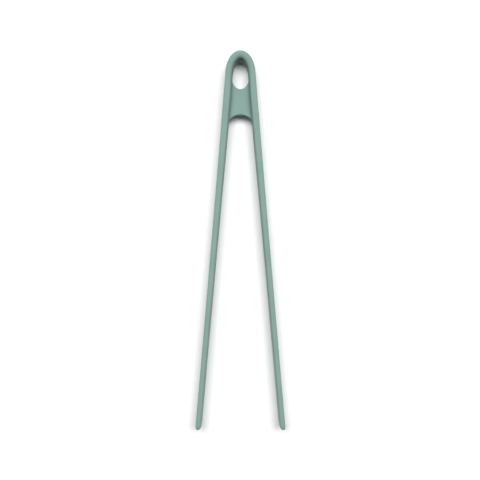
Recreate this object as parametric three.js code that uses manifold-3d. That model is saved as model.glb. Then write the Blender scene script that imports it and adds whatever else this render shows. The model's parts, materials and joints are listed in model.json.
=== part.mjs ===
// Spring loaded kitchen tongs: a spring steel bow riveted to two stiff arm cores, under a soft silicone skin.
// Millimetres. X runs across the arms, Y along them with the head at +Y, and Z through the band's width.
// The tongs lie on one side on Z = 0. A depth is a distance from the head's end towards the tips.
import * as THREE from 'three';
import { mergeVertices } from 'three/addons/utils/BufferGeometryUtils.js';
import Module from 'manifold-3d';

const wasm = await Module();
wasm.setup();

const radians = THREE.MathUtils.degToRad;

// Overall
const overallLength = 290;
const bandWidth = 22;
const headFlare = radians(4.63);      // lean of each leg of the head
const armSplay = radians(5);          // lean of each arm at rest

// Silicone skin
const bowHalfWidth = 11.45;           // outer half width where the bow ends
const bowDepth = 17.5;                // depth of the bow's outer half ellipse
const bowWall = 5.3;                  // band thickness round the bow
const flexWall = 5.2;                 // band thickness at the flex line
const tipWall = 4.1;                  // band thickness at the tip
const edgeRound = 1;                  // rounding of the band's rims
const faceSkin = 0.8;                 // silicone over the core's broad faces
const rimSkin = 2;                    // silicone over the core's narrow faces
const solidTip = 9;                   // all silicone at the tip, past the core

// Flex line, where an arm turns on the head
const flexDepth = 64;
const knuckleRadius = 6;              // arc on which the arm's skin meets the head's

// Tip
const tipCorner = 4;                  // corner radius of the broad face
const noseShare = 0.41;               // share of the tip's thickness that lies outside its lowest point
const outerNose = 2;                  // length of the rounding on the outer side
const innerNose = 4;                  // length of the rounding on the gripping side

// Web between the head's legs
const webThickness = 6.6;
const webCove = 3;                    // radius where the web's faces run into the legs
const holeDepth = 28.1;               // lowest point of the hanging hole
const holeRadius = 7;                 // round lower end of the hanging hole
const lipDepth = 47.7;                // top of the arched lower lip
const lipRadius = 10.6;

// Spring
const springThickness = 0.8;
const springCover = 3.5;              // from the band's rim to the spring's edge
const springLeg = 32;                 // length past the flex line

// Arm core
const coreStart = 10;                 // from the flex line to the core
const keyHoleRadius = 2.2;            // the skin grips the core through these holes
const keyHoleCount = 3;
const keyHoleFirst = 60;              // from the flex line
const keyHolePitch = 50;

// Rivets
const rivetRadius = 1.2;
const rivetHeadRadius = 2;
const rivetHeadHeight = 0.5;
const rivetPlaces = { upper: 16, lower: 26 };   // from the flex line

const fitGap = 0.3;                   // clearance between pieces that touch

// Worked out from the sizes above
const headCentreHalfWidth = bowHalfWidth - bowWall / 2;
const headCentreDepth = bowDepth - bowWall / 2;
const bowEndAngle = Math.atan2(headCentreHalfWidth, headCentreDepth * Math.tan(headFlare));
const bowEnd = bowPoint(bowEndAngle);
const flexPoint = new THREE.Vector2(
  bowEnd.x + (flexDepth + bowEnd.y) * Math.tan(headFlare),
  -flexDepth,
);
const noseOuter = tipWall * noseShare;
const noseInner = tipWall - noseOuter;
const noseLowest = tipWall / 2 - noseOuter;
const armLength = (overallLength - flexDepth + noseShortfall()) / Math.cos(armSplay);
const coreEnd = armLength - solidTip;
const springWidth = bandWidth - 2 * springCover;
const springSlot = springThickness + 2 * fitGap;

const arcSteps = 24;
const roundSteps = 24;
const bevelSteps = 3;
const taperSteps = 6;
const weldDistance = 1e-4;

const silicone = new THREE.MeshStandardMaterial({ color: '#8eaba3', roughness: 0.62, metalness: 0 });
const nylon = new THREE.MeshStandardMaterial({ color: '#2c2f31', roughness: 0.5, metalness: 0 });
const springSteel = new THREE.MeshStandardMaterial({ color: '#a9adb0', roughness: 0.3, metalness: 1 });
const rivetSteel = new THREE.MeshStandardMaterial({ color: '#c2c5c8', roughness: 0.35, metalness: 1 });

// A point of the bow's centreline, with the angle measured from the head's end. Y is minus the depth.
function bowPoint(angle) {
  return new THREE.Vector2(
    headCentreHalfWidth * Math.sin(angle),
    headCentreDepth * Math.cos(angle) - bowDepth,
  );
}

// How much less the tilted nose reaches along Y than the end of the arm's own axis would.
function noseShortfall() {
  const reach = Math.hypot(noseInner * Math.sin(armSplay), innerNose * Math.cos(armSplay));
  return innerNose * Math.cos(armSplay) + noseLowest * Math.sin(armSplay) - reach;
}

// Band thickness on an arm, at a distance from the flex line. The taper eases off towards the nose.
function armWall(distance) {
  const left = Math.max(0, 1 - distance / (armLength - innerNose));
  return tipWall + (flexWall - tipWall) * left * left;
}

// Thickness of an arm's core, at a distance from the flex line.
function coreThickness(distance) {
  return armWall(distance) - 2 * (faceSkin + fitGap);
}

function toManifold(geometry) {
  const bare = geometry.clone();
  bare.deleteAttribute('normal');
  bare.deleteAttribute('uv');
  const merged = mergeVertices(bare, weldDistance);
  return new wasm.Manifold(new wasm.Mesh({
    numProp: 3,
    vertProperties: new Float32Array(merged.attributes.position.array),
    triVerts: new Uint32Array(merged.index.array),
  }));
}

function toGeometry(solid) {
  const mesh = solid.getMesh();
  const geometry = new THREE.BufferGeometry();
  geometry.setAttribute('position', new THREE.BufferAttribute(mesh.vertProperties, 3));
  geometry.setIndex(new THREE.BufferAttribute(mesh.triVerts, 1));
  geometry.computeVertexNormals();
  return geometry;
}

// An outline in X and Y, made solid through Z about Z = 0.
function extrude(outline, width, round = 0) {
  const geometry = new THREE.ExtrudeGeometry(new THREE.Shape(outline), {
    depth: width - 2 * round,
    bevelEnabled: round > 0,
    bevelThickness: round,
    bevelSize: round,
    bevelOffset: -round,
    bevelSegments: bevelSteps,
  });
  geometry.translate(0, 0, round - width / 2);
  return toManifold(geometry);
}

// A round bar along Z, through the whole band and past it.
function roundCutter(radius, x, y) {
  const geometry = new THREE.CylinderGeometry(radius, radius, 2 * bandWidth, 3 * roundSteps);
  geometry.rotateX(Math.PI / 2);
  geometry.translate(x, y, 0);
  return toManifold(geometry);
}

// A round peg along X at a point of an arm's axis, where Y is minus the distance from the flex line.
function pegGeometry(radius, length, y) {
  const geometry = new THREE.CylinderGeometry(radius, radius, length, roundSteps);
  geometry.rotateZ(Math.PI / 2);
  geometry.translate(0, y, 0);
  return geometry;
}

// Right half of the head's centreline, from the head's end down to the flex line.
function rightHeadLine() {
  const points = [];
  for (let step = 0; step <= arcSteps; step += 1) {
    const angle = (bowEndAngle * step) / arcSteps;
    const point = bowPoint(angle);
    const normal = new THREE.Vector2(
      headCentreDepth * Math.sin(angle),
      headCentreHalfWidth * Math.cos(angle),
    ).normalize();
    points.push({ point, normal, wall: bowWall });
  }
  const normal = new THREE.Vector2(Math.cos(headFlare), Math.sin(headFlare));
  points.push({ point: flexPoint.clone(), normal, wall: flexWall });
  return points;
}

// The head's line, carried on along both arms to a distance past the flex line.
function wholeLine(legLength) {
  const right = rightHeadLine();
  if (legLength > 0) {
    const along = new THREE.Vector2(Math.sin(armSplay), -Math.cos(armSplay));
    const normal = new THREE.Vector2(Math.cos(armSplay), Math.sin(armSplay));
    const point = flexPoint.clone().addScaledVector(along, legLength);
    right.push({ point, normal, wall: armWall(legLength) });
  }
  const left = right.slice(1).reverse().map(({ point, normal, wall }) => ({
    point: new THREE.Vector2(-point.x, point.y),
    normal: new THREE.Vector2(-normal.x, normal.y),
    wall,
  }));
  return [...left, ...right];
}

// Closed outline on both sides of a line, half a thickness away from it.
function ribbon(line, thickness) {
  const side = (sign) => line.map((place) => {
    const offset = (sign * thickness(place)) / 2;
    return place.point.clone().addScaledVector(place.normal, offset);
  });
  return [...side(-1), ...side(1).reverse()];
}

function headSleeve() {
  const band = extrude(ribbon(wholeLine(0), (place) => place.wall), bandWidth, edgeRound);
  const passage = extrude(ribbon(wholeLine(springLeg), () => springSlot), springWidth + 2 * fitGap);
  const seat = knuckleRadius + fitGap;
  return band
    .subtract(passage)
    .subtract(roundCutter(seat, flexPoint.x, flexPoint.y))
    .subtract(roundCutter(seat, -flexPoint.x, flexPoint.y));
}

// Half width of the space between the head's legs, at a depth below the bow.
function innerHalfWidth(depth) {
  const fall = (depth + bowEnd.y) / (flexDepth + bowEnd.y);
  const centre = THREE.MathUtils.lerp(bowEnd.x, flexPoint.x, fall);
  return centre - THREE.MathUtils.lerp(bowWall, flexWall, fall) / (2 * Math.cos(headFlare));
}

// Section of the web at right angles to a leg, from inside the leg to past the middle, with a cove each side.
function webSection() {
  const face = webThickness / 2;
  const edge = face + webCove;
  const shape = new THREE.Shape();
  shape.moveTo(fitGap, -edge);
  shape.lineTo(fitGap, edge);
  shape.absarc(-webCove, edge, webCove, 0, -0.5 * Math.PI, true);
  shape.lineTo(-lipRadius, face);
  shape.lineTo(-lipRadius, -face);
  shape.absarc(-webCove, -edge, webCove, 0.5 * Math.PI, 0, true);
  return shape;
}

// The web is that section drawn along each leg's inner face, then cut to the space between the legs.
function bridgeWeb() {
  const top = holeDepth - holeRadius;
  const bottom = lipDepth + lipRadius;
  const topHalf = innerHalfWidth(top) - fitGap;
  const bottomHalf = innerHalfWidth(bottom) - fitGap;
  const outline = extrude([
    new THREE.Vector2(-bottomHalf, -bottom),
    new THREE.Vector2(bottomHalf, -bottom),
    new THREE.Vector2(topHalf, -top),
    new THREE.Vector2(-topHalf, -top),
  ], bandWidth);
  const sides = [0, Math.PI].map((turn) => {
    const geometry = new THREE.ExtrudeGeometry(webSection(), {
      depth: 2 * bottom,
      bevelEnabled: false,
      curveSegments: roundSteps / 4,
    });
    geometry.translate(0, 0, -bottom);
    geometry.rotateX(Math.PI / 2);
    geometry.rotateZ(Math.atan2(bottomHalf - topHalf, bottom - top));
    geometry.translate(topHalf, -top, 0);
    geometry.rotateY(turn);
    return toManifold(geometry);
  });
  return sides[0]
    .add(sides[1])
    .intersect(outline)
    .subtract(roundCutter(holeRadius, 0, -top))
    .subtract(roundCutter(lipRadius, 0, -bottom));
}

// The strip, with the rivets' holes in each leg. They are made as on an arm, then put where the arms are.
function springBow() {
  let strip = extrude(ribbon(wholeLine(springLeg), () => springThickness), springWidth);
  for (const place of Object.values(rivetPlaces)) {
    for (const turn of [0, Math.PI]) {
      const hole = pegGeometry(rivetRadius + fitGap, flexWall, -place);
      hole.rotateZ(armSplay);
      hole.translate(flexPoint.x, flexPoint.y, 0);
      hole.rotateY(turn);
      strip = strip.subtract(toManifold(hole));
    }
  }
  return strip;
}

// Everything on an arm is made along -Y from the flex line, with its outer face towards +X.

// Points of an elliptical arc, without its first one.
function arcPoints(x, y, radiusX, radiusY, from, to) {
  const curve = new THREE.EllipseCurve(x, y, radiusX, radiusY, from, to);
  return curve.getPoints(roundSteps / 3).slice(1);
}

// One side of an arm between two distances from the flex line. The sign picks the outer or the inner side.
function armSide(from, to, thickness, sign) {
  return Array.from({ length: taperSteps + 1 }, (_, step) => {
    const distance = THREE.MathUtils.lerp(from, to, step / taperSteps);
    return new THREE.Vector2((sign * thickness(distance)) / 2, -distance);
  });
}

// Outline of an arm's skin: straight past the flex line, the taper, and a nose longer on the gripping side.
function armOutline() {
  const half = flexWall / 2;
  const downwards = 1.5 * Math.PI;
  return [
    new THREE.Vector2(half, 2 * knuckleRadius),
    new THREE.Vector2(-half, 2 * knuckleRadius),
    ...armSide(0, armLength - innerNose, armWall, -1),
    ...arcPoints(noseLowest, innerNose - armLength, noseInner, innerNose, Math.PI, downwards),
    ...arcPoints(noseLowest, outerNose - armLength, noseOuter, outerNose, downwards, 2 * Math.PI),
    ...armSide(0, armLength - innerNose, armWall, 1).reverse(),
  ];
}

// All that lies below the knuckle arc: a half disc on the flex line with a wide bar under it.
function belowKnuckle() {
  return extrude([
    new THREE.Vector2(knuckleRadius, 0),
    ...arcPoints(0, 0, knuckleRadius, knuckleRadius, 0, Math.PI),
    new THREE.Vector2(-knuckleRadius, -2 * armLength),
    new THREE.Vector2(knuckleRadius, -2 * armLength),
  ], 2 * bandWidth);
}

// The broad face's outline, with rounded corners at the tip, as a bar through the arm's thickness.
function broadFace() {
  const half = bandWidth / 2;
  const shape = new THREE.Shape();
  shape.moveTo(half, 3 * knuckleRadius);
  shape.lineTo(-half, 3 * knuckleRadius);
  shape.lineTo(-half, tipCorner - armLength);
  shape.absarc(tipCorner - half, tipCorner - armLength, tipCorner, Math.PI, 1.5 * Math.PI, false);
  shape.absarc(half - tipCorner, tipCorner - armLength, tipCorner, 1.5 * Math.PI, 2 * Math.PI, false);
  const geometry = new THREE.ExtrudeGeometry(shape, {
    depth: 4 * knuckleRadius,
    bevelEnabled: false,
    curveSegments: roundSteps / 4,
  });
  geometry.translate(0, 0, -2 * knuckleRadius);
  geometry.rotateY(Math.PI / 2);
  return toManifold(geometry);
}

// A bar along the arm's axis between two distances from the flex line.
function armBar(from, to, thickness, width) {
  const outline = [
    ...armSide(from, to, thickness, -1),
    ...armSide(from, to, thickness, 1).reverse(),
  ];
  return extrude(outline, width);
}

function keyHolePlaces() {
  return Array.from({ length: keyHoleCount }, (_, index) => -keyHoleFirst - index * keyHolePitch);
}

function armSleeve() {
  const corePocket = armBar(
    coreStart - fitGap,
    coreEnd + fitGap,
    (distance) => coreThickness(distance) + 2 * fitGap,
    bandWidth - 2 * rimSkin,
  );
  const springPassage = armBar(-knuckleRadius, coreStart, () => springSlot, springWidth + 2 * fitGap);
  let sleeve = extrude(armOutline(), bandWidth, edgeRound)
    .intersect(broadFace())
    .intersect(belowKnuckle())
    .subtract(corePocket)
    .subtract(springPassage);
  for (const y of keyHolePlaces()) {
    sleeve = sleeve.add(toManifold(pegGeometry(keyHoleRadius - fitGap, armWall(-y) - faceSkin, y)));
  }
  return sleeve;
}

// A rivet with two countersunk heads, along X and flush with the core. A swell makes the hole for it.
function rivetSolid(place, swell) {
  const half = coreThickness(place) / 2;
  const neck = half - rivetHeadHeight;
  const spread = (rivetHeadRadius - rivetRadius) / rivetHeadHeight;
  const end = half + swell;
  const endRadius = rivetHeadRadius + swell + spread * swell;
  const profile = [
    new THREE.Vector2(0, -end),
    new THREE.Vector2(endRadius, -end),
    new THREE.Vector2(rivetRadius + swell, -neck),
    new THREE.Vector2(rivetRadius + swell, neck),
    new THREE.Vector2(endRadius, end),
    new THREE.Vector2(0, end),
  ];
  const geometry = new THREE.LatheGeometry(profile, roundSteps);
  geometry.rotateZ(Math.PI / 2);
  geometry.translate(0, -place, 0);
  return toManifold(geometry);
}

function armCore() {
  const mouth = coreStart - fitGap;
  const socket = armBar(mouth, springLeg + fitGap, () => springSlot, springWidth + 2 * fitGap);
  let core = armBar(coreStart, coreEnd, coreThickness, bandWidth - 2 * (rimSkin + fitGap)).subtract(socket);
  for (const y of keyHolePlaces()) {
    core = core.subtract(toManifold(pegGeometry(keyHoleRadius, flexWall, y)));
  }
  for (const place of Object.values(rivetPlaces)) {
    core = core.subtract(rivetSolid(place, fitGap));
  }
  return core;
}

function named(name, solid, material) {
  const mesh = new THREE.Mesh(toGeometry(solid), material);
  mesh.name = name;
  return mesh;
}

// An arm on the +X side. The other side is the same arm turned half way round the Y axis.
function makeArm(side) {
  const arm = new THREE.Group();
  arm.position.set(flexPoint.x, flexPoint.y, 0);
  arm.rotation.z = armSplay;
  arm.add(named(`${side}_arm_sleeve`, armSleeve(), silicone));
  arm.add(named(`${side}_arm_core`, armCore(), nylon));
  for (const [place, distance] of Object.entries(rivetPlaces)) {
    arm.add(named(`${side}_${place}_rivet`, rivetSolid(distance, 0), rivetSteel));
  }
  return arm;
}

const tongs = new THREE.Group();
tongs.position.set(0, overallLength / 2, bandWidth / 2);
tongs.add(named('spring_bow', springBow(), springSteel));
tongs.add(named('head_sleeve', headSleeve(), silicone));
tongs.add(named('bridge_web', bridgeWeb(), silicone));
tongs.add(makeArm('right'));

const leftSide = new THREE.Group();
leftSide.rotation.y = Math.PI;
leftSide.add(makeArm('left'));
tongs.add(leftSide);

export default tongs;
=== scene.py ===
import json
import math

import bmesh
import bpy
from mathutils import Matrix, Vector


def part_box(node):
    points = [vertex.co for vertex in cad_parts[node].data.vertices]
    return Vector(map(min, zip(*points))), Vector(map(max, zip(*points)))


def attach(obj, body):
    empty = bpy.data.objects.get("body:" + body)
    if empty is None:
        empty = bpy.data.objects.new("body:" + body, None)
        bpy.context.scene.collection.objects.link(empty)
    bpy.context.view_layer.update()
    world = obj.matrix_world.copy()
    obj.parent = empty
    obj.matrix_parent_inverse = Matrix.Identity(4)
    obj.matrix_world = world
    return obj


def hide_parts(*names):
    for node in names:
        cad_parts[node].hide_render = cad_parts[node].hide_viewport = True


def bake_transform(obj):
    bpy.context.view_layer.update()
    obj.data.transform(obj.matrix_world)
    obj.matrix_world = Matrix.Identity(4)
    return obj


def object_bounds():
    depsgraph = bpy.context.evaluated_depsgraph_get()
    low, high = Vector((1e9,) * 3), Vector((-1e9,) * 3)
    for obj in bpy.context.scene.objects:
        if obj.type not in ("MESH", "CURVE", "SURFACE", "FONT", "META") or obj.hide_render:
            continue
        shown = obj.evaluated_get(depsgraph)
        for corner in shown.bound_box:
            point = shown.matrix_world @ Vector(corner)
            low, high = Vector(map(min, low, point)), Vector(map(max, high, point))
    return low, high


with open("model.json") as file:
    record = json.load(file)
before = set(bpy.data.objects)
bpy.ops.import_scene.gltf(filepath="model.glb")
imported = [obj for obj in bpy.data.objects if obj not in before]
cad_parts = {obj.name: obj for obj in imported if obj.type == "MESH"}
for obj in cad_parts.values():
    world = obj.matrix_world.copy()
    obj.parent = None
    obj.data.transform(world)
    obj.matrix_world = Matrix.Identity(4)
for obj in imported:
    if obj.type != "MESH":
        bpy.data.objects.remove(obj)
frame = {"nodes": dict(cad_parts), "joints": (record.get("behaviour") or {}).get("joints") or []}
cadLow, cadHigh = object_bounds()
mm = 0.001

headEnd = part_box("head_sleeve")[1].y             # the far end of the bow
bandHalf = (cadHigh.z - cadLow.z) / 2            # half the band's width
midHeight = (cadHigh.z + cadLow.z) / 2
flexPoint = Vector(frame["joints"][1]["pos_m"])  # the right arm's flex line
flexDepth = headEnd - flexPoint.y                # depths run from the bow's end towards the tips
tipEnd = cadLow.y
tiny = 1e-9                                      # keeps a division from zero
print("frame loaded, flex line at depth", round(flexDepth / mm, 1), "mm")


band = {
    "bowHalfWidth": 11.45 * mm,   # outer half ellipse of the bow
    "bowDepth": 17.5 * mm,
    "bowWall": 5.3 * mm,          # thickness round the bow
    "flexWall": 5.2 * mm,         # at the flex line
    "tipWall": 4.1 * mm,          # and at the tip
    "headFlare": math.radians(4.63),
    "armSplay": math.radians(5),
    "turnOver": 8 * mm,           # length over which one lean turns into the other
    "outerRound": 1.0 * mm,       # rim rounding on the outside
    "bowInnerRound": 3.3 * mm,    # rim rounding on the inside, at the bow's end
    "legInnerRound": 2.8 * mm,    # where the bow meets a leg
    "armInnerRound": 1.5 * mm,    # and on an arm
    "roundFade": 20 * mm,         # length of leg over which it dies down to the arm's
    "outerRoundShare": 0.49,      # the most of the wall that a rounding may take, outside and inside
    "innerRoundShare": 0.8,
    "outerRoundRoom": 1.05,       # room left for the outer rounding, in its own radii
    "rimCrown": 0.22 * mm,        # how far the rim falls from its middle to its edges
    "rimPower": 6,                # how late on the way up that fall sets in
    "innerCrown": 0.06 * mm,      # how far the faces swell at mid height
    "outerCrown": 0.12 * mm,
    "flashHigh": 0.05 * mm,       # the moulding line at mid height
    "flashHalf": 0.14 * mm,
    "seamDepth": 56.3 * mm,       # where the head's skin ends and an arm's begins
    "tipCorner": 4 * mm,          # corner radius of the broad face
    "noseShare": 0.41,            # share of the tip's wall that lies outside its lowest point
    "outerNose": 2 * mm,          # length of the tip's rounding, outside and inside
    "innerNose": 4 * mm,
}


def smooth(t):
    t = min(max(t, 0.0), 1.0)
    return t * t * (3 - 2 * t)


def mix(a, b, t):
    return a + (b - a) * t


class BandLine:
    # the middle line of the band on the right side, from the bow's end to the tip

    def __init__(self, spec):
        self.spec = spec
        half = spec["bowHalfWidth"] - spec["bowWall"] / 2
        deep = spec["bowDepth"] - spec["bowWall"] / 2
        flare = spec["headFlare"]
        self.half, self.deep = half, deep
        self.endAngle = math.atan2(half, deep * math.tan(flare))
        self.bowEnd = self.bowPoint(self.endAngle)
        legDrop = self.bowEnd[1] - (headEnd - flexDepth)
        self.legLength = legDrop / math.cos(flare)
        splay = spec["armSplay"]
        outer = spec["tipWall"] * spec["noseShare"]
        inner = spec["tipWall"] - outer
        self.lowest = spec["tipWall"] / 2 - outer
        nose = spec["innerNose"]
        reach = math.hypot(inner * math.sin(splay), nose * math.cos(splay))
        shortfall = nose * math.cos(splay) + self.lowest * math.sin(splay) - reach
        self.armLength = (flexPoint.y - tipEnd + shortfall) / math.cos(splay)

    def bowPoint(self, angle):
        return (
            self.half * math.sin(angle),
            headEnd - self.spec["bowDepth"] + self.deep * math.cos(angle),
        )

    def onBow(self, angle):
        x, y = self.bowPoint(angle)
        nx, ny = self.deep * math.sin(angle), self.half * math.cos(angle)
        size = math.hypot(nx, ny)
        return (x, y), (nx / size, ny / size)

    def onLeg(self, share):
        # share 0 is the bow's end and 1 the flex line
        flare = self.spec["headFlare"]
        run = share * self.legLength
        point = (
            self.bowEnd[0] + run * math.sin(flare),
            self.bowEnd[1] - run * math.cos(flare),
        )
        return point, self.leaning((share - 1) * self.legLength)

    def onArm(self, run):
        splay = self.spec["armSplay"]
        point = (
            flexPoint.x + run * math.sin(splay),
            flexPoint.y - run * math.cos(splay),
        )
        return point, self.leaning(run)

    def leaning(self, pastFlex):
        turn = self.spec["turnOver"]
        lean = mix(
            self.spec["headFlare"],
            self.spec["armSplay"],
            smooth((pastFlex + turn) / (2 * turn)),
        )
        return math.cos(lean), math.sin(lean)

    def wall(self, pastFlex):
        # thickness at a distance past the flex line, which is negative on the head
        if pastFlex < 0:
            share = max(0.0, 1 + pastFlex / self.legLength)
            return mix(self.spec["bowWall"], self.spec["flexWall"], share)
        left = max(0.0, 1 - pastFlex / (self.armLength - self.spec["innerNose"]))
        return mix(self.spec["tipWall"], self.spec["flexWall"], left * left)


line = BandLine(band)


def innerRoundAt(pastFlex, bowShare):
    # bowShare is 0 at the bow's end and 1 where a leg begins
    if bowShare < 1:
        return mix(band["bowInnerRound"], band["legInnerRound"], smooth(bowShare))
    calm = smooth((pastFlex + line.legLength) / band["roundFade"])
    return mix(band["legInnerRound"], band["armInnerRound"], calm)


def station(point, normal, pastFlex, bowShare=1.0):
    # everything that the cross-section needs at one place along the band
    spec = band
    wall = line.wall(pastFlex)
    outer, inner, high = wall / 2, wall / 2, bandHalf
    innerRound = innerRoundAt(pastFlex, bowShare)
    toEnd = line.armLength - pastFlex
    if toEnd < spec["tipCorner"]:
        away = spec["tipCorner"] - toEnd
        high = bandHalf - spec["tipCorner"] + math.sqrt(max(spec["tipCorner"] ** 2 - away ** 2, 0))
    lowest = line.lowest
    if toEnd < spec["innerNose"]:
        share = math.sqrt(max(1 - (1 - toEnd / spec["innerNose"]) ** 2, 0))
        inner = -lowest + (wall / 2 + lowest) * share
    if toEnd < spec["outerNose"]:
        share = math.sqrt(max(1 - (1 - toEnd / spec["outerNose"]) ** 2, 0))
        outer = lowest + (wall / 2 - lowest) * share
    return {
        "point": point,
        "normal": normal,
        "outer": outer,
        "inner": inner,
        "high": high,
        "outerRound": min(spec["outerRound"], spec["outerRoundShare"] * (outer + inner)),
        "innerRound": min(
            innerRound,
            spec["innerRoundShare"] * (outer + inner),
            outer + inner - spec["outerRound"] * spec["outerRoundRoom"],
        ),
        "crown": min(1.0, toEnd / spec["tipCorner"]),
    }


cornerSteps = 9
sideSteps = 7
rimSteps = 7


def upperHalfSection(s):
    # (offset along the normal, height) from the outer face at mid height, over the rim, to the inner face
    spec = band
    points = []
    ro, ri = s["outerRound"], s["innerRound"]
    outerTop, innerTop = s["high"] - ro, s["high"] - ri
    flash = spec["flashHalf"]
    points.append((s["outer"] + spec["flashHigh"] * s["crown"], 0.0))
    for i in range(sideSteps):
        points.append((s["outer"], mix(flash, outerTop, i / sideSteps)))
    for i in range(cornerSteps + 1):
        a = math.pi / 2 * i / cornerSteps
        points.append((s["outer"] - ro + ro * math.cos(a), outerTop + ro * math.sin(a)))
    for i in range(1, rimSteps):
        points.append((mix(s["outer"] - ro, ri - s["inner"], i / rimSteps), s["high"]))
    for i in range(cornerSteps + 1):
        a = math.pi / 2 * (1 - i / cornerSteps)
        points.append((ri - s["inner"] - ri * math.cos(a), innerTop + ri * math.sin(a)))
    for i in range(sideSteps - 1, -1, -1):
        points.append((-s["inner"], mix(flash, innerTop, i / sideSteps)))
    points.append((-s["inner"] - spec["flashHigh"] * s["crown"], 0.0))
    centre, half = (s["outer"] - s["inner"]) / 2, (s["outer"] + s["inner"]) / 2
    crowned = []
    for n, z in points:
        across = (n - centre) / max(half, tiny)
        up = z / max(s["high"], tiny)
        swell = spec["outerCrown"] if n > centre else spec["innerCrown"]
        n += math.copysign(swell, n - centre) * s["crown"] * (1 - up * up) * min(1, abs(across))
        z -= spec["rimCrown"] * s["crown"] * up ** spec["rimPower"] * across * across
        crowned.append((n, z))
    return crowned


def ring(s, mirrored):
    upper = upperHalfSection(s)
    lower = [(n, -z) for n, z in reversed(upper[1:-1])]
    side = -1 if mirrored else 1
    (x, y), (nx, ny) = s["point"], s["normal"]
    return [
        (side * (x + n * nx), y + n * ny, midHeight + z)
        for n, z in upper + lower
    ]


weld = {
    "skin": 1e-6,       # points of a skin that lie nearer than this are one, in metres
    "strip": 1e-7,      # the same on the spring
    "sliver": 1e-7,     # edges shorter than this are dissolved
}


def addObject(name, data):
    made = bpy.data.objects.new(name, data)
    bpy.context.scene.collection.objects.link(made)
    return made


def sweep(name, rings, capEnd=True):
    # a closed skin over a row of rings that all have the same number of points; without an end cap, the last
    # ring has to close on itself
    count = len(rings[0])
    verts = [p for r in rings for p in r]
    faces = []
    for i in range(len(rings) - 1):
        for k in range(count):
            a, b = i * count + k, i * count + (k + 1) % count
            faces.append((a, b, b + count, a + count))
    smoothFaces = len(faces)
    faces.append(tuple(reversed(range(count))))
    if capEnd:
        last = (len(rings) - 1) * count
        faces.append(tuple(range(last, last + count)))
    mesh = bpy.data.meshes.new(name)
    mesh.from_pydata(verts, [], faces)
    mesh.polygons.foreach_set("use_smooth", [i < smoothFaces for i in range(len(faces))])
    tidyMesh(mesh)
    return addObject(name, mesh)


def tidyMesh(mesh):
    # welds the points, turns the faces outwards and marks the caps' edges as sharp
    b = bmesh.new()
    b.from_mesh(mesh)
    bmesh.ops.remove_doubles(b, verts=b.verts, dist=weld["skin"])
    bmesh.ops.dissolve_degenerate(b, edges=b.edges, dist=weld["sliver"])
    bmesh.ops.recalc_face_normals(b, faces=b.faces)
    for e in b.edges:
        if len(e.link_faces) == 2 and e.link_faces[0].smooth != e.link_faces[1].smooth:
            e.smooth = False
    b.to_mesh(mesh)
    b.free()


class Wire:
    # one socket, with the sums that the materials below use

    def __init__(self, maker, socket):
        self.maker, self.socket = maker, socket

    def sum(self, kind, a, b):
        return self.maker.node("ShaderNodeMath", {"operation": kind}, {0: a, 1: b})

    def __add__(self, other):
        return self.sum("ADD", self, other)

    def __radd__(self, other):
        return self.sum("ADD", other, self)

    def __mul__(self, other):
        return self.sum("MULTIPLY", self, other)

    def __rmul__(self, other):
        return self.sum("MULTIPLY", other, self)


class Finish:
    # builds one material's nodes

    def __init__(self, name, **fixed):
        self.material = bpy.data.materials.new(name)
        self.material.use_nodes = True
        self.tree = self.material.node_tree
        self.shader = self.tree.nodes["Principled BSDF"]
        for key, value in fixed.items():
            self.shader.inputs[key.replace("_", " ")].default_value = value
        self.place = self.node("ShaderNodeTexCoord", {}, {}, "Object")

    def node(self, kind, settings, inputs, output=0):
        made = self.tree.nodes.new(kind)
        for key, value in settings.items():
            setattr(made, key, value)
        for key, value in inputs.items():
            if isinstance(value, Wire):
                self.tree.links.new(value.socket, made.inputs[key])
            else:
                made.inputs[key].default_value = value
        return Wire(self, made.outputs[output])

    def noise(self, spec, place=None):
        # spec is the scale per metre, the detail and the roughness
        scale, detail, rough = spec
        return self.node("ShaderNodeTexNoise", {}, {
            "Vector": place or self.place, "Scale": scale, "Detail": detail, "Roughness": rough,
        }, "Fac")

    def stretched(self, x, y, z):
        return self.node("ShaderNodeVectorMath", {"operation": "MULTIPLY"}, {0: self.place, 1: (x, y, z)})

    def colours(self, factor, a, b):
        return self.node("ShaderNodeMix", {"data_type": "RGBA"}, {"Factor": factor, 6: a, 7: b}, 2)

    def ramp(self, factor, low, high):
        return self.node("ShaderNodeMapRange", {}, {
            "Value": factor, "From Min": low, "From Max": high, "To Min": 0.0, "To Max": 1.0,
        })

    def feed(self, **wires):
        for key, wire in wires.items():
            self.tree.links.new(wire.socket, self.shader.inputs[key.replace("_", " ")])

    def bump(self, height, depth, strength=1.0, under=None):
        inputs = {"Height": height, "Distance": depth, "Strength": strength}
        if under is not None:
            inputs["Normal"] = under
        return self.node("ShaderNodeBump", {}, inputs)


siliconeLook = {
    "pale": (0.228, 0.345, 0.310, 1),
    "deep": (0.202, 0.309, 0.278, 1),
    "roughLow": 0.70,
    "roughHigh": 0.86,
    "mottle": (55, 4.0, 0.55),      # soft clouds of colour
    "grain": (2600, 3.0, 0.6),      # the mould's fine blasted grain
    "mottleShare": 0.75,            # how much of the tone each of them makes
    "grainShare": 0.25,
    "toneSpan": (0.32, 0.68),       # part of the noise that is stretched over the whole range
    "roughSpan": (0.3, 0.7),
    "grainDepth": 0.02 * mm,        # depth and strength of each one's relief
    "grainStrength": 0.6,
    "mottleDepth": 0.05 * mm,
    "mottleStrength": 0.35,
}


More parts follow.
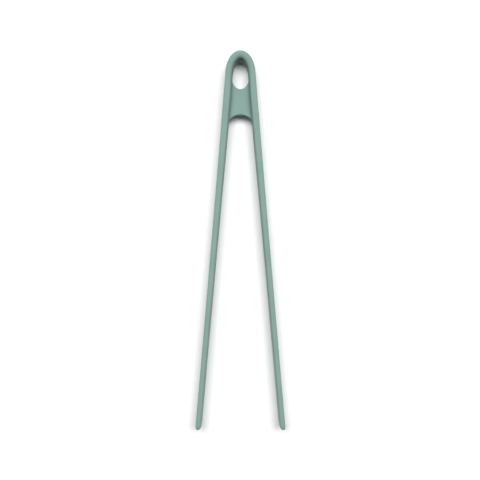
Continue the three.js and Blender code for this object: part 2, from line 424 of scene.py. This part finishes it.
def siliconeFinish():
    look = siliconeLook
    f = Finish("sageSilicone", Specular_IOR_Level=0.30, IOR=1.43, Sheen_Weight=0.12, Sheen_Roughness=0.5)
    cloud = f.noise(look["mottle"])
    grain = f.noise(look["grain"])
    tone = f.ramp(cloud * look["mottleShare"] + grain * look["grainShare"], *look["toneSpan"])
    rough = look["roughLow"] + (look["roughHigh"] - look["roughLow"]) * f.ramp(grain, *look["roughSpan"])
    waves = f.bump(cloud, look["mottleDepth"], look["mottleStrength"])
    f.feed(
        Base_Color=f.colours(tone, look["deep"], look["pale"]),
        Roughness=rough,
        Normal=f.bump(grain, look["grainDepth"], look["grainStrength"], waves),
    )
    return f.material


nylonLook = {
    "dark": (0.018, 0.020, 0.022, 1),
    "light": (0.060, 0.065, 0.070, 1),
    "fibres": (900, 3.0, 0.6),
    "stretch": (1, 0.12, 1),        # the fibres lie along the arms
    "fibreSpan": (0.45, 0.75),
    "clouds": (120, 2.0, 0.5),
    "rough": 0.42,
    "cloudRough": 0.2,
    "fibreDepth": 0.03 * mm,
    "fibreStrength": 0.5,
}


def nylonFinish():
    look = nylonLook
    f = Finish("glassFilledNylon", Specular_IOR_Level=0.5)
    fibres = f.noise(look["fibres"], f.stretched(*look["stretch"]))
    clouds = f.noise(look["clouds"])
    f.feed(
        Base_Color=f.colours(f.ramp(fibres, *look["fibreSpan"]), look["dark"], look["light"]),
        Roughness=look["rough"] + look["cloudRough"] * clouds,
        Normal=f.bump(fibres, look["fibreDepth"], look["fibreStrength"]),
    )
    return f.material


steelLook = {
    "lines": (600, 3.0, 0.6),       # fine lines, drawn out on the spring by its streak
    "lineSpan": (0.3, 0.7),
    "spots": (300, 2.0, 0.5),
    "lighter": 1.25,                # how much lighter the lines are than the ground
    "rough": 0.24,
    "lineRough": 0.14,
    "spotRough": 0.06,
    "lineDepth": 0.01 * mm,
    "lineStrength": 0.5,
}


def steelFinish(name, colour, streak):
    look = steelLook
    f = Finish(name, Metallic=1.0)
    lines = f.noise(look["lines"], f.stretched(*streak))
    spots = f.noise(look["spots"])
    lighter = tuple(min(1, c * look["lighter"]) for c in colour[:3]) + (1,)
    f.feed(
        Base_Color=f.colours(f.ramp(lines, *look["lineSpan"]), colour, lighter),
        Roughness=look["rough"] + look["lineRough"] * lines + look["spotRough"] * spots,
        Normal=f.bump(lines, look["lineDepth"], look["lineStrength"]),
    )
    return f.material


silicone = siliconeFinish()
nylon = nylonFinish()
springSteel = steelFinish("rolledSpringSteel", (0.40, 0.42, 0.43, 1), (1, 0.06, 1))
rivetSteel = steelFinish("rivetSteel", (0.54, 0.56, 0.58, 1), (1, 1, 1))
print("materials made")


def seamShare():
    drop = line.bowEnd[1] - (headEnd - band["seamDepth"])
    return drop / (line.legLength * math.cos(band["headFlare"]))


def headStations():
    # from the bow's end down the right leg, as far as the seam
    bowSteps, legSteps = 56, 30
    places = []
    for i in range(bowSteps + 1):
        point, normal = line.onBow(line.endAngle * i / bowSteps)
        places.append(station(point, normal, -line.legLength, i / bowSteps))
    for i in range(1, legSteps + 1):
        share = seamShare() * i / legSteps
        point, normal = line.onLeg(share)
        places.append(station(point, normal, (share - 1) * line.legLength))
    return places


def headSkin():
    right = headStations()
    rings = [ring(s, False) for s in reversed(right)]
    rings += [ring(s, True) for s in right[1:]]
    made = sweep("head_skin", rings)
    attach(made, "head")
    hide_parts("head_sleeve")
    return made


def armStations():
    legSteps, armSteps, tipSteps = 10, 90, 34
    places = []
    for i in range(legSteps):
        share = mix(seamShare(), 1, i / legSteps)
        point, normal = line.onLeg(share)
        places.append(station(point, normal, (share - 1) * line.legLength))
    tipStart = line.armLength - band["tipCorner"]
    for i in range(armSteps):
        run = tipStart * i / armSteps
        point, normal = line.onArm(run)
        places.append(station(point, normal, run))
    for i in range(tipSteps + 1):
        run = tipStart + band["tipCorner"] * math.sin(math.pi / 2 * i / tipSteps)
        point, normal = line.onArm(run)
        places.append(station(point, normal, run))
    return places


blendReach = 7 * mm      # the length unit in which the spring's cuts reach either side of the flex line


def bendWith(piece):
    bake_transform(piece)


def armSkin(side):
    rings = [ring(s, side == "left") for s in armStations()]
    made = sweep(side + "_arm_skin", rings, capEnd=False)
    bendWith(made)
    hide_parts(side + "_arm_sleeve")
    return made


web = {
    "holeHalf": 6.4 * mm,        # half width and length of the hole's round lower end
    "holeReach": 7.4 * mm,
    "holeDepth": 28.1 * mm,      # lowest point of the hanging hole
    "lipRadius": 10.6 * mm,
    "lipDepth": 47.7 * mm,       # top of the arched lip
    "thickness": 6.6 * mm,
    "dish": 1.4 * mm,            # how much lower the middle of its face lies than its two edges
    "holeRound": 0.6 * mm,
    "lipRound": 0.3 * mm,
    "coveWidth": 6.2 * mm,       # the broad elliptical fillet against each leg
    "coveRise": 4.4 * mm,
    "sunk": 0.7 * mm,            # how far the web runs on inside each leg
    "holeAngle": math.radians(88),
    # the lip's end is looked for between these two angles, in these steps
    "lipFrom": math.radians(40),
    "lipUpTo": math.radians(88),
    "lipStep": math.radians(0.1),
}


def innerHalfAt(depth):
    # half the space between the legs, at a depth
    share = (line.bowEnd[1] - (headEnd - depth)) / (line.legLength * math.cos(band["headFlare"]))
    (x, y), (nx, ny) = line.onLeg(share)
    return x - line.wall((share - 1) * line.legLength) / 2 / nx - band["innerCrown"]


def holePlace(angle):
    # a place on the hole's edge, as its x and its depth, with the angle measured from its lowest point
    depth = web["holeDepth"] - web["holeReach"] * (1 - math.cos(angle))
    return web["holeHalf"] * math.sin(angle), depth


def lipPlace(angle):
    # the same on the lip, with the angle measured from its top
    depth = web["lipDepth"] + web["lipRadius"] * (1 - math.cos(angle))
    return web["lipRadius"] * math.sin(angle), depth


def lipAngle():
    # where the lip's arc has run far enough into the legs
    angle = web["lipFrom"]
    while angle < web["lipUpTo"]:
        x, depth = lipPlace(angle)
        if x > innerHalfAt(depth) + web["sunk"]:
            break
        angle += web["lipStep"]
    return angle


def webFace(x, depth, along):
    # height of the web's upper face above mid height, with along from 0 at the hole to 1 at the lip
    w = web
    toLeg = max(innerHalfAt(depth) - abs(x), 0.0)
    height = w["thickness"] / 2 - w["dish"] * (1 - (2 * along - 1) ** 2)
    if toLeg < w["coveWidth"]:
        height += w["coveRise"] * (1 - math.sqrt(1 - (1 - toLeg / w["coveWidth"]) ** 2))
    return height


def webColumn(u, lipEnd):
    # one closed loop round the web, from the hole over the upper face to the lip and back underneath
    w = web
    faceSteps, roundSteps, wallSteps = 30, 8, 6
    x0, d0 = holePlace(u * w["holeAngle"])
    x1, d1 = lipPlace(u * lipEnd)
    length = math.hypot(x1 - x0, d1 - d0)
    upper = []
    for i in range(roundSteps):
        a = math.pi / 2 * i / roundSteps
        upper.append((w["holeRound"] * (1 - math.cos(a)), w["holeRound"] * (1 - math.sin(a))))
    for i in range(faceSteps + 1):
        upper.append((mix(w["holeRound"], length - w["lipRound"], i / faceSteps), 0.0))
    for i in range(1, roundSteps + 1):
        a = math.pi / 2 * i / roundSteps
        upper.append((length - w["lipRound"] * (1 - math.sin(a)), w["lipRound"] * (1 - math.cos(a))))
    points = []
    for along, drop in upper:
        t = along / length
        x, depth = mix(x0, x1, t), mix(d0, d1, t)
        points.append((x, headEnd - depth, webFace(x, depth, t) - drop))
    lower = [(x, y, -z) for x, y, z in reversed(points)]
    walls = []
    for (x, y, z) in (points[-1], lower[-1]):
        walls.append([(x, y, mix(z, -z, i / wallSteps)) for i in range(1, wallSteps)])
    loop = points + walls[0] + lower + walls[1]
    return [(x, y, midHeight + z) for x, y, z in loop]


def webSkin():
    columns = 80
    lipEnd = lipAngle()
    rings = []
    for c in range(columns + 1):
        u = math.sin(math.pi / 2 * (2 * c / columns - 1))
        rings.append(webColumn(u, lipEnd))
    made = sweep("web_skin", rings)
    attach(made, "head")
    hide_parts("bridge_web")
    return made


springCuts = {
    "count": 18,
    "reach": 1.2,       # how far the cuts go on either side of the flex line, in blend reaches
}


def springHalf(side):
    # half of the strip, with enough cuts across the flex line to bend smoothly
    source = frame["nodes"]["spring_bow"]
    mesh = source.data.copy()
    keep = 1 if side == "right" else -1
    b = bmesh.new()
    b.from_mesh(mesh)
    bmesh.ops.remove_doubles(b, verts=b.verts, dist=weld["strip"])
    cut = bmesh.ops.bisect_plane(
        b, geom=b.verts[:] + b.edges[:] + b.faces[:],
        plane_co=(0, 0, 0), plane_no=(keep, 0, 0), clear_inner=True,
    )
    edges = [e for e in cut["geom_cut"] if isinstance(e, bmesh.types.BMEdge)]
    bmesh.ops.holes_fill(b, edges=edges)
    reach = springCuts["reach"]
    for i in range(springCuts["count"] + 1):
        y = flexPoint.y + mix(reach, -reach, i / springCuts["count"]) * blendReach
        bmesh.ops.bisect_plane(
            b, geom=b.verts[:] + b.edges[:] + b.faces[:], plane_co=(0, y, 0), plane_no=(0, 1, 0),
        )
    bmesh.ops.recalc_face_normals(b, faces=b.faces)
    b.to_mesh(mesh)
    b.free()
    mesh.materials.clear()
    made = addObject(side + "_spring_half", mesh)
    bendWith(made)
    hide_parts("spring_bow")
    return made


def dress(piece, material):
    piece.data.materials.clear()
    piece.data.materials.append(material)


for piece in (headSkin(), webSkin(), armSkin("left"), armSkin("right")):
    dress(piece, silicone)
for side in ("left", "right"):
    dress(springHalf(side), springSteel)
    dress(frame["nodes"][side + "_arm_core"], nylon)
    for place in ("upper", "lower"):
        dress(frame["nodes"][side + "_" + place + "_rivet"], rivetSteel)
print("pieces made")


paper = {
    "size": 3.0,
    "below": 0.02 * mm,             # how far it lies under the tongs
    "colour": (0.920, 0.920, 0.915, 1),
    "shade": 0.99,                  # the darker of its two tones, as a share of the colour
    "fibre": (400, 3.0, 0.5),
}


def makeFloor():
    mesh = bpy.data.meshes.new("floor")
    half = paper["size"] / 2
    low = cadLow.z - paper["below"]
    mesh.from_pydata(
        [(-half, -half, low), (half, -half, low), (half, half, low), (-half, half, low)],
        [], [(0, 1, 2, 3)],
    )
    floor = addObject("floor", mesh)
    f = Finish("paper", Roughness=0.8, Specular_IOR_Level=0.2)
    r, g, b, a = paper["colour"]
    shade = paper["shade"]
    darker = (r * shade, g * shade, b * shade, a)
    f.feed(Base_Color=f.colours(f.noise(paper["fibre"]), darker, paper["colour"]))
    mesh.materials.append(f.material)


softbox = {
    "distance": 2.6,                # height above the surface that the tongs lie on
    "leanX": math.radians(1.3),     # how far it stands off the vertical, to the right and towards the head
    "leanY": math.radians(13.4),
    "width": 1.97,
    "depth": 0.96,
    "power": 87.5,
}

sky = {
    "colour": (1.0, 0.985, 0.955, 1),
    "strength": 0.109,
}


def makeLights():
    light = bpy.data.lights.new("softbox", "AREA")
    light.shape = "RECTANGLE"
    light.size = softbox["width"]
    light.size_y = softbox["depth"]
    light.energy = softbox["power"]
    lamp = addObject("softbox", light)
    lamp.location = softbox["distance"] * Vector((math.tan(softbox["leanX"]), math.tan(softbox["leanY"]), 1))
    lamp.rotation_euler = (-lamp.location).to_track_quat("-Z", "Y").to_euler()
    world = bpy.data.worlds.new("softRoom")
    world.use_nodes = True
    backdrop = world.node_tree.nodes["Background"]
    backdrop.inputs["Color"].default_value = sky["colour"]
    backdrop.inputs["Strength"].default_value = sky["strength"]
    bpy.context.scene.world = world


camera = {
    "height": 0.601,
    "shiftX": -0.00034,             # how far it stands off the middle
    "shiftY": 0.00045,
    "view": math.radians(35.002),
    "sensor": 36,                   # in millimetres
    "near": 0.01,                   # nearest distance that it sees
}


def makeCamera():
    data = bpy.data.cameras.new("above")
    data.sensor_width = camera["sensor"]
    data.angle = camera["view"]
    data.clip_start = camera["near"]
    eye = addObject("above", data)
    eye.location = (camera["shiftX"], camera["shiftY"], camera["height"])
    bpy.context.scene.camera = eye


makeFloor()
makeLights()
makeCamera()
bpy.context.scene.view_settings.view_transform = "Standard"
print("studio made")
